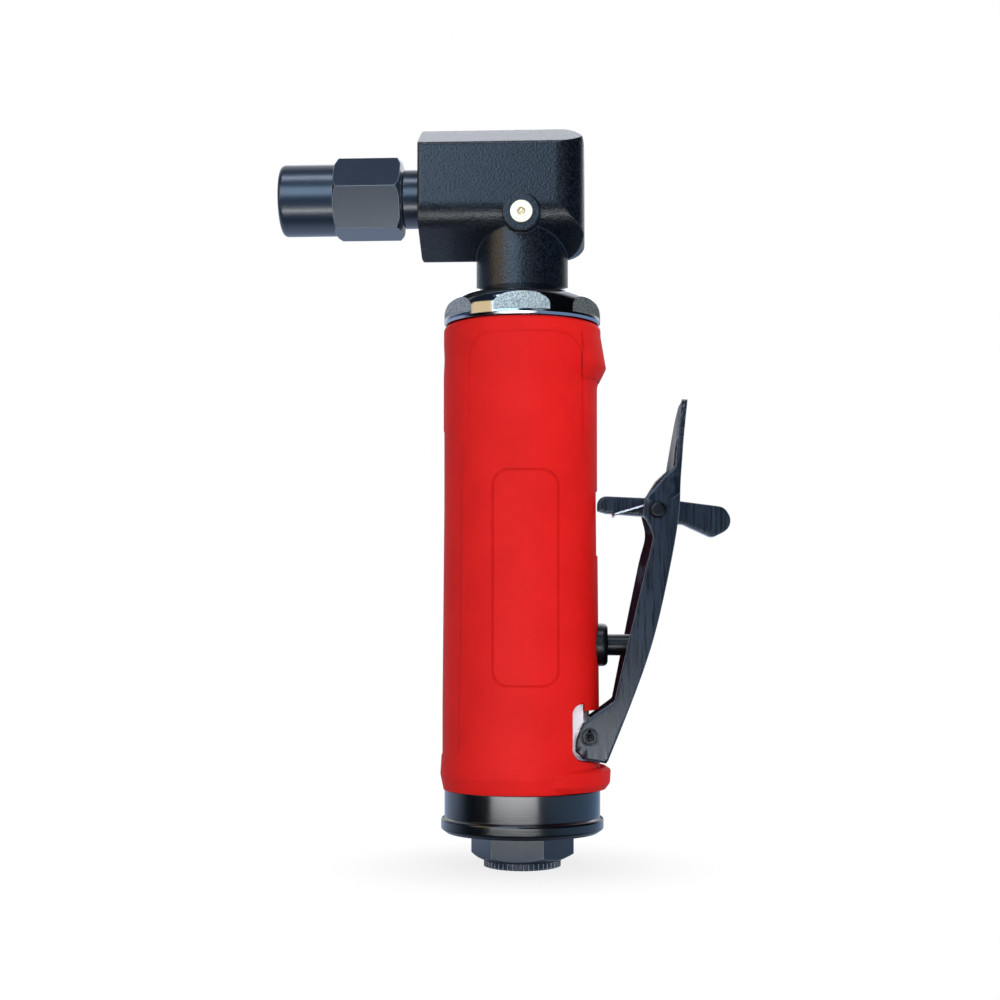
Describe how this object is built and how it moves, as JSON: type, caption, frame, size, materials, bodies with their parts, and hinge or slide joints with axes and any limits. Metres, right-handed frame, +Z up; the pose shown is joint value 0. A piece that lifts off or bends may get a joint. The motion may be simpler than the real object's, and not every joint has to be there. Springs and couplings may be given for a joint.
{
  "type": "angle die grinder",
  "caption": "Pneumatic right-angle die grinder: red grip sleeve over an air motor, bevel-geared head, collet with hex nut, and a throttle lever with a safety latch.",
  "frame": {"origin": "Centre of the air inlet's mouth, on the handle's axis.", "axes": "+Z runs up the handle's axis from the air inlet to the head; -X is the way the collet points; the throttle lever is on +X; -Y is the side with the grease fitting."},
  "size_m": [0.1058, 0.0382, 0.174],
  "materials": {
    "black_nickel": "dark bright plating",
    "black_paint": "fine-textured satin coat on cast metal",
    "black_steel": "black oxide, semi-gloss",
    "bright_steel": "ground",
    "bronze": "machined",
    "felt": "pressed felt",
    "grey_iron": "machined",
    "nickel": "bright nickel",
    "nitrile": "smooth",
    "phenolic": "laminate",
    "red_grip": "satin moulded composite",
    "silver_housing": "machined",
    "spring_steel": "bright wire"
  },
  "bodies": {
    "handle": {"motor_housing": "silver_housing", "grip_sleeve": "red_grip", "clamp_collar": "black_nickel", "angle_head": "black_paint", "grease_fitting": "nickel", "grease_fitting_ball": "bright_steel", "inlet_bushing": "black_steel", "inlet_screen": "bright_steel", "exhaust_ring": "black_nickel", "muffler_ring": "felt", "valve_seat": "bronze", "valve_spring": "spring_steel", "throttle_bush": "black_steel", "rear_end_plate": "grey_iron", "front_end_plate": "grey_iron", "motor_cylinder": "grey_iron", "cylinder_dowels": "bright_steel", "motor_clamp_ring": "bright_steel", "rotor_bearing_outer_rings": "bright_steel", "pinion_bearing_outer_rings": "bright_steel", "pinion_outer_spacer": "bright_steel", "pinion_lock_ring": "bright_steel", "front_bearing_outer_ring": "bright_steel", "rear_bearing_outer_ring": "bright_steel", "spindle_retainer": "black_steel", "spindle_seal": "nitrile", "lever_hinge_pin": "black_steel"},
    "motor_shaft": {"rotor": "bright_steel", "rotor_vanes": "phenolic", "rotor_bearing_inner_rings": "bright_steel", "pinion_bearing_inner_rings": "bright_steel", "pinion_inner_spacer": "bright_steel", "pinion_circlip": "spring_steel", "drive_pinion": "bright_steel"},
    "output_shaft": {"spindle": "black_steel", "driven_gear": "bright_steel", "gear_key": "bright_steel", "gear_clip": "spring_steel", "spindle_spacer": "bright_steel", "front_bearing_inner_ring": "bright_steel", "rear_bearing_inner_ring": "bright_steel"},
    "chuck": {"collet": "bright_steel"},
    "chuck_nut": {"collet_nut": "black_steel"},
    "lever": {"throttle_lever": "black_steel", "latch_pin": "black_steel", "latch_spring": "spring_steel"},
    "latch": {"safety_latch": "black_steel"},
    "plunger": {"throttle_pin": "black_steel", "pin_clip": "spring_steel", "pin_o_ring": "nitrile"},
    "valve": {"tilt_valve": "nitrile"}
  },
  "joints": [
    {"name": "motor_spin", "type": "hinge", "parent": "handle", "child": "motor_shaft", "pos_m": [0, 0, 0.09], "axis": [0, 0, 1], "continuous": true},
    {"name": "spindle_spin", "type": "hinge", "parent": "handle", "child": "output_shaft", "pos_m": [0, 0, 0.15782], "axis": [-1, 0, 0], "continuous": true},
    {"name": "collet_slide", "type": "slide", "parent": "output_shaft", "child": "chuck", "axis": [-1, 0, 0], "range_m": [0, 0.0025]},
    {"name": "nut_turn", "type": "hinge", "parent": "chuck", "child": "chuck_nut", "pos_m": [-0.045, 0, 0.15782], "axis": [-1, 0, 0], "range_deg": [0, 721]},
    {"name": "lever_press", "type": "hinge", "parent": "handle", "child": "lever", "pos_m": [0.0159, 0, 0.031], "axis": [0, -1, 0], "range_deg": [0, 7], "stiffness_Nm_per_rad": 2, "springref_deg": -5.73},
    {"name": "latch_turn", "type": "hinge", "parent": "lever", "child": "latch", "pos_m": [0.0316, 0, 0.0832], "axis": [0, -1, 0], "range_deg": [0, 77.5], "deforming": ["latch_spring"]},
    {"name": "pin_slide", "type": "slide", "parent": "handle", "child": "plunger", "axis": [-1, 0, 0], "range_m": [0, 0.0033]},
    {"name": "valve_tilt", "type": "hinge", "parent": "handle", "child": "valve", "pos_m": [0.0048, 0, 0.043], "axis": [0, -1, 0], "range_deg": [0, 21], "deforming": ["valve_spring"]}
  ],
  "couplings": [
    {"joint": "spindle_spin", "follows": "motor_spin", "ratio": 0.86667},
    {"joint": "nut_turn", "follows": "collet_slide", "rad_per_m": 5026.5},
    {"joint": "latch_turn", "follows": "lever_press", "ratio": 11},
    {"joint": "pin_slide", "follows": "lever_press", "m_per_rad": 0.0262},
    {"joint": "valve_tilt", "follows": "lever_press", "ratio": 2.9}
  ]
}
